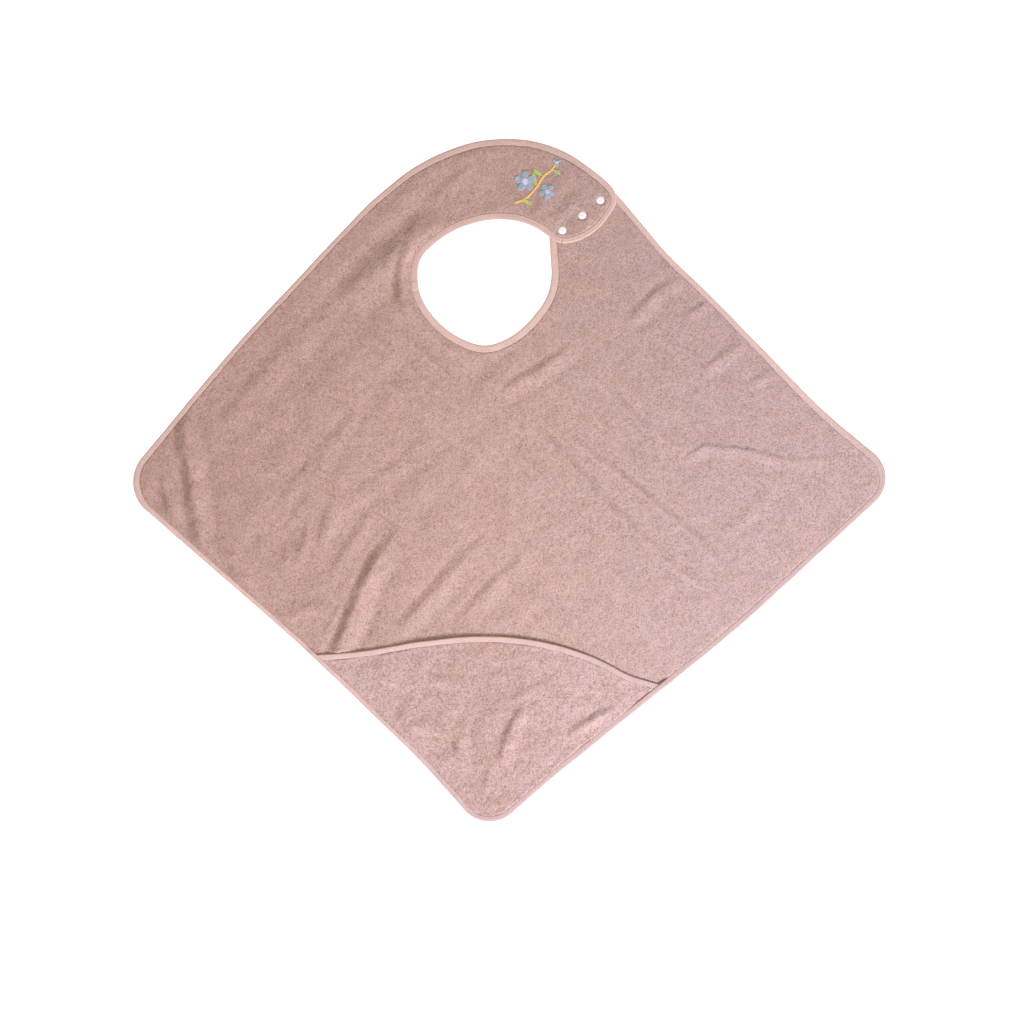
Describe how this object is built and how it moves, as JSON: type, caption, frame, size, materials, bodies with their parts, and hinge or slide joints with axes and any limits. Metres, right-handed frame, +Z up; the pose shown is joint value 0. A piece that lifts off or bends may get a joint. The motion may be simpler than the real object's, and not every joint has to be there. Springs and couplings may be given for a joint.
{
  "type": "hooded apron towel",
  "caption": "Square terry apron towel laid flat, with a snap-closed neck band at one corner, a hood across the opposite corner and bound edges.",
  "frame": {"origin": "middle of the towel's footprint, on the surface that it lies on", "axes": "+Y towards the neck band, +X towards the shoulder that the snaps close over, +Z up out of the surface"},
  "size_m": [1.3012, 1.1798, 0.0112],
  "materials": {
    "terry": "matte",
    "tape": "matte",
    "snap": "gloss",
    "seam_thread": "satin",
    "petal_thread": "satin",
    "centre_thread": "satin",
    "stem_thread": "satin",
    "leaf_thread": "satin"
  },
  "bodies": {
    "root": {"apron_panel": "terry", "hood_panel": "terry", "outer_binding": "tape", "neck_binding": "tape", "hood_binding": "tape", "snap_cap_1": "snap", "snap_cap_2": "snap", "snap_cap_3": "snap", "snap_socket_1": "snap", "snap_socket_2": "snap", "snap_socket_3": "snap", "snap_stud_1": "snap", "snap_stud_2": "snap", "snap_stud_3": "snap", "snap_back_1": "snap", "snap_back_2": "snap", "snap_back_3": "snap"}
  },
  "joints": []
}
